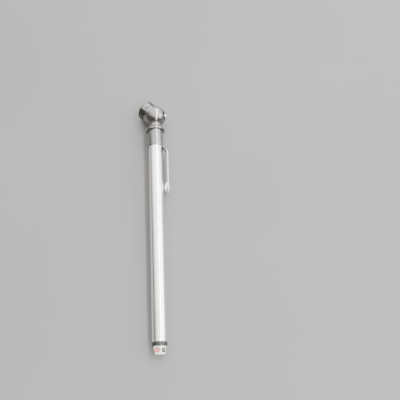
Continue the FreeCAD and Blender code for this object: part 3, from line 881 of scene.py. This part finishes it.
def makeClip():
    c = clipSizes
    radius = c["bandRadius"]
    gap = c["seam"] / radius
    start = math.radians(c["seamAngle"]) + gap / 2
    corner = Vector((radius * math.cos(start), c["bandTop"], radius * math.sin(start)))
    clip = startPoint("pocketClip", corner * mm)
    rise = (c["bandBottom"] - c["bandTop"]) / c["bandRows"]
    for i in range(c["bandRows"]):
        bpy.ops.mesh.extrude_region_move(TRANSFORM_OT_translate={"value": (0, rise * mm, 0)})
    bpy.ops.mesh.select_all(action="SELECT")
    bpy.ops.mesh.spin(steps=c["steps"], angle=-(2 * math.pi - gap), center=(0, 0, 0), axis=(0, 1, 0))
    stepAngle = (2 * math.pi - gap) / c["steps"]
    half = radius * math.sin(c["armSteps"] * stepAngle)
    reach = radius * math.sin((c["armSteps"] + 0.4) * stepAngle) * mm
    selectWhere(clip, lambda p: p.x > 0 and abs(p.z) < reach and p.y < (c["bandBottom"] + 0.1) * mm)
    here = c["bandBottom"], radius
    flatness = 0.0
    width = 1.0
    for index, row in enumerate(armRows()):
        bpy.ops.mesh.extrude_region_move(TRANSFORM_OT_translate={"value": (0, (row[0] - here[0]) * mm, 0)})
        wanted = min(1.0, c["flatStart"] + c["flatStep"] * index)
        left = (1 - wanted) / (1 - flatness) if flatness < 1 else 1.0
        bpy.ops.transform.resize(value=(left, 1, 1), center_override=(here[1] * mm, 0, 0))
        flatness = wanted
        bpy.ops.transform.translate(value=((row[1] - here[1]) * mm, 0, 0))
        fromTip = row[0] - c["tip"]
        share = 1.0
        if fromTip < c["tipRound"]:
            rounding = math.sqrt(c["tipRound"] ** 2 - (c["tipRound"] - fromTip) ** 2)
            share = (half - c["tipRound"] + rounding) / half
        bpy.ops.transform.resize(value=(1, 1, share / width), center_override=(0, 0, 0))
        width = share
        here = row
    bpy.ops.object.mode_set(mode="OBJECT")
    for vertex in clip.data.vertices:  # the bowl is pressed in towards the tube
        along = (vertex.co.y / mm - c["bowlStation"]) / c["bowlLength"]
        across = vertex.co.z / mm / c["bowlWidth"]
        fromMiddle = along ** 2 + across ** 2
        if fromMiddle < 1:
            vertex.co.x -= c["bowlDepth"] * mm * math.sqrt(1 - fromMiddle)
    applyModifier(clip, "SOLIDIFY", thickness=c["sheet"] * mm, offset=0.0, use_even_offset=False)
    choose(clip)
    bpy.ops.object.mode_set(mode="EDIT")
    bpy.ops.mesh.select_all(action="SELECT")
    bpy.ops.mesh.normals_make_consistent(inside=False)
    bpy.ops.object.mode_set(mode="OBJECT")
    soften(clip, c["edge"], 2, 50)
    settle(clip, tubeFrame)
    dress(clip, "clip")
    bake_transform(clip)
    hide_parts("clip_band", "clip_arm")


makeClip()
print("stage 4: pocket clip made")


barSizes = {
    "side": 5.3, "corner": 0.4, "roll": 30.0, "outerEnd": -6.8, "innerEnd": 118.85,
    "tipTaper": 1.9, "tipDrop": 0.75, "tipEase": 0.12,
    "foot": 3.4, "footThickness": 1.4, "slide": 0.06,
    "guideLip": 4.35, "guideLipLength": 2.1, "guideRound": 0.35, "guideGap": 0.02,
    "plug": 4.14, "plugLength": 5.5, "guideEdge": 0.12, "barEdge": 0.09,
}


def squareRod(name, side, corner, low, high):
    clearSelection()
    bpy.ops.mesh.primitive_cube_add(size=1, location=(0, (low + high) / 2 * mm, 0),
                                    scale=(side * mm, (high - low) * mm, side * mm))
    rod = bpy.context.object
    rod.name = name
    bpy.ops.object.transform_apply(location=True, rotation=True, scale=True)
    bpy.ops.object.mode_set(mode="EDIT")
    bpy.ops.mesh.select_mode(type="EDGE")
    bpy.ops.mesh.select_all(action="DESELECT")
    bpy.ops.object.mode_set(mode="OBJECT")
    spots = [vertex.co for vertex in rod.data.vertices]
    for edge in rod.data.edges:
        first, second = edge.vertices
        edge.select = abs(spots[first].y - spots[second].y) > side * mm
    bpy.ops.object.mode_set(mode="EDIT")
    bpy.ops.mesh.bevel(offset=corner * mm, segments=3, affect="EDGES")
    bpy.ops.object.mode_set(mode="OBJECT")
    return rod


rolled = tubeFrame @ Matrix.Rotation(math.radians(-barSizes["roll"]), 4, "Y")


def makeGuide():
    b = barSizes
    r = b["guideRound"]
    low = -b["guideLipLength"]
    outline = [(0, low)] + arc((b["guideLip"] - r, low + r), (r, r), -90, 0, 6)
    outline += [(b["guideLip"], -b["guideGap"]), (b["plug"], -b["guideGap"]),
                (b["plug"], b["plugLength"]), (0, b["plugLength"])]
    guide = turnedPiece("endGuideBush", outline, 128)
    wide = b["side"] + 2 * b["slide"]
    hole = squareRod("guideHole", wide, b["corner"], low - 1, b["plugLength"] + 1)
    settle(hole, Matrix.Rotation(math.radians(-b["roll"]), 4, "Y"))
    carve(guide, hole)
    soften(guide, b["guideEdge"], 2, 40)
    place(guide, tubeFrame, "guide", "guide_plastic", "barrel", "end_guide")


def makeBar():
    b = barSizes
    ease, drop, tip, end = b["tipEase"], b["tipDrop"], b["outerEnd"], b["innerEnd"]
    bar = squareRod("scaleBar", b["side"], b["corner"], tip, end - b["footThickness"] / 2)
    reach = (b["side"] - b["corner"]) / math.sqrt(2) + ease
    past = tip + b["tipTaper"] * (1 + ease + drop) / drop  # where the cone has left the bar
    outline = [(0, tip), (reach - drop - ease, tip), (reach + 1, past), (reach + 1, end + 1), (0, end + 1)]
    carve(bar, turnedPiece("tipCone", outline, 96), "INTERSECT")
    low = end - b["footThickness"]
    outline = [(0, low), (b["foot"], low), (b["foot"], end), (0, end)]
    carve(bar, turnedPiece("barFoot", outline, 64), "UNION")
    soften(bar, b["barEdge"], 2, 35)
    place(bar, rolled, "bar", "bar_plastic", "indicator", "scale_bar")


makeGuide()
makeBar()


scaleMarks = {
    "start": -2.1,  # the guide's outer face, where the scale is read
    "lowReading": 10, "lowTravel": 4.0, "highReading": 75, "highTravel": 58.0,
    "tickWidth": 0.16, "longTick": 1.5, "shortTick": 0.8, "lift": 0.012,
    "rowHeight": 2.1, "rowUp": 1.15, "rowShift": 0.1,  # the digits beside the ticks
    "endAt": -4.6,  # the digit on the bar's end
    "fontSize": 1.38, "fontWidth": 0.92,  # font size per digit height, and how far it is narrowed
    "dark": {"readings": range(10, 76), "perUnit": 1.0, "longEach": 5, "digitsEach": 10,
             "endHeight": 3.5, "endWeight": 0.12},
    "red": {"readings": range(70, 521, 10), "perUnit": 6.894757, "longEach": 50, "digitsEach": 100,
            "endHeight": 3.7, "endWeight": 0.07},
}


def faceFrame(lean):  # X along the bar, Y up the face, Z out of it
    half = barSizes["side"] / 2 + scaleMarks["lift"]
    out = Vector((math.sin(lean), 0, math.cos(lean)))
    along = Vector((0, 1, 0))
    up = out.cross(along)
    turn = Matrix((along, up, out)).transposed().to_4x4()
    return Matrix.Translation(Vector((axisX, openEnd, axisZ)) + out * half * mm) @ turn


def printDigits(text, at, height, where, weight=0.02):  # weight is the stroke's gain, per height
    m = scaleMarks
    clearSelection()
    bpy.ops.object.text_add()
    label = bpy.context.object
    label.data.body = text
    label.data.align_x = "CENTER"
    label.data.align_y = "CENTER"
    label.data.size = height * m["fontSize"] * mm
    label.data.offset = weight * mm * height
    label.data.resolution_u = 4
    bpy.ops.object.convert(target="MESH")
    label = bpy.context.object
    narrow = Matrix.Diagonal((m["fontWidth"], 1, 1, 1))
    return settle(label, where @ Matrix.Translation(Vector((at, 0, 0)) * mm) @ narrow)


def printTick(at, reach, where):
    m = scaleMarks
    half = barSizes["side"] / 2 - barSizes["corner"]
    clearSelection()
    bpy.ops.mesh.primitive_plane_add(size=1)
    tick = bpy.context.object
    size = Matrix.Diagonal((m["tickWidth"] * mm, reach * mm, 1, 1))
    return settle(tick, where @ Matrix.Translation(Vector((at, reach / 2 - half, 0)) * mm) @ size)


def joinMarks(name, marks, finish):
    clearSelection()
    for mark in marks:
        mark.select_set(True)
    bpy.context.view_layer.objects.active = marks[0]
    bpy.ops.object.join()
    joined = bpy.context.object
    joined.name = name
    joined.data.materials.clear()
    joined.data.materials.append(finishes[finish])
    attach(joined, "indicator")


def travel(reading):
    m = scaleMarks
    rate = (m["highTravel"] - m["lowTravel"]) / (m["highReading"] - m["lowReading"])
    return m["start"] + m["lowTravel"] + (reading - m["lowReading"]) * rate


def printScale(scale, where):
    m = scaleMarks
    row = where @ Matrix.Translation((0, m["rowUp"] * mm, 0))
    marks = [printDigits("0", m["endAt"], scale["endHeight"], where, scale["endWeight"])]
    for reading in scale["readings"]:
        spot = travel(reading / scale["perUnit"])
        reach = m["longTick"] if reading % scale["longEach"] == 0 else m["shortTick"]
        marks.append(printTick(spot, reach, where))
        if reading % scale["digitsEach"] == 0:
            marks.append(printDigits(str(reading), spot + m["rowShift"], m["rowHeight"], row))
    return marks


def printScales():
    roll = math.radians(barSizes["roll"])
    darkMarks = printScale(scaleMarks["dark"], faceFrame(math.pi / 2 - roll))
    redMarks = printScale(scaleMarks["red"], faceFrame(-roll))
    joinMarks("darkScale", darkMarks, "darkInk")
    joinMarks("redScale", redMarks, "redInk")


printScales()
print("stage 5: guide, bar and scales made")


springSizes = {"wire": 0.5, "mean": 3.81, "low": 6.15, "high": 120.75, "turns": 26, "travel": 60.0}


def makeSpring():
    s = springSizes
    clearSelection()
    bpy.ops.mesh.primitive_circle_add(vertices=10, radius=s["wire"] / 2 * mm,
                                      location=(s["mean"] * mm, 0, 0))
    spring = bpy.context.object
    spring.name = "mainSpringCoil"
    bpy.ops.object.transform_apply(location=True, rotation=True, scale=True)
    pitch = (s["high"] - s["low"]) / s["turns"]
    applyModifier(spring, "SCREW", axis="Y", angle=2 * math.pi, steps=28, render_steps=28,
                  iterations=s["turns"], screw_offset=pitch * mm, use_smooth_shade=True,
                  use_merge_vertices=True, merge_threshold=0.000001)
    choose(spring)
    bpy.ops.object.mode_set(mode="EDIT")
    bpy.ops.mesh.select_all(action="DESELECT")
    bpy.ops.mesh.select_non_manifold()
    bpy.ops.mesh.fill()
    bpy.ops.mesh.select_all(action="SELECT")
    bpy.ops.mesh.normals_make_consistent(inside=False)
    bpy.ops.object.mode_set(mode="OBJECT")
    foot = tubeFrame @ Matrix.Translation((0, s["low"] * mm, 0))
    place(spring, foot, "spring", "spring_steel", "barrel", "main_spring")
    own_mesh(spring)


makeSpring()

keptNodes = {
    "head_o_ring": "rubber", "pin_carrier": "brass", "drag_leaf": "spring", "stop_washer": "brass",
    "piston_body": "piston", "piston_cup": "rubber", "cup_washer": "brass", "piston_rivet": "brass",
    "spring_seat": "brass",
}
for node, finish in keptNodes.items():
    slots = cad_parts[node].data.materials
    slots.clear()
    slots.append(finishes[finish])
print("stage 6: spring and inner pieces dressed")
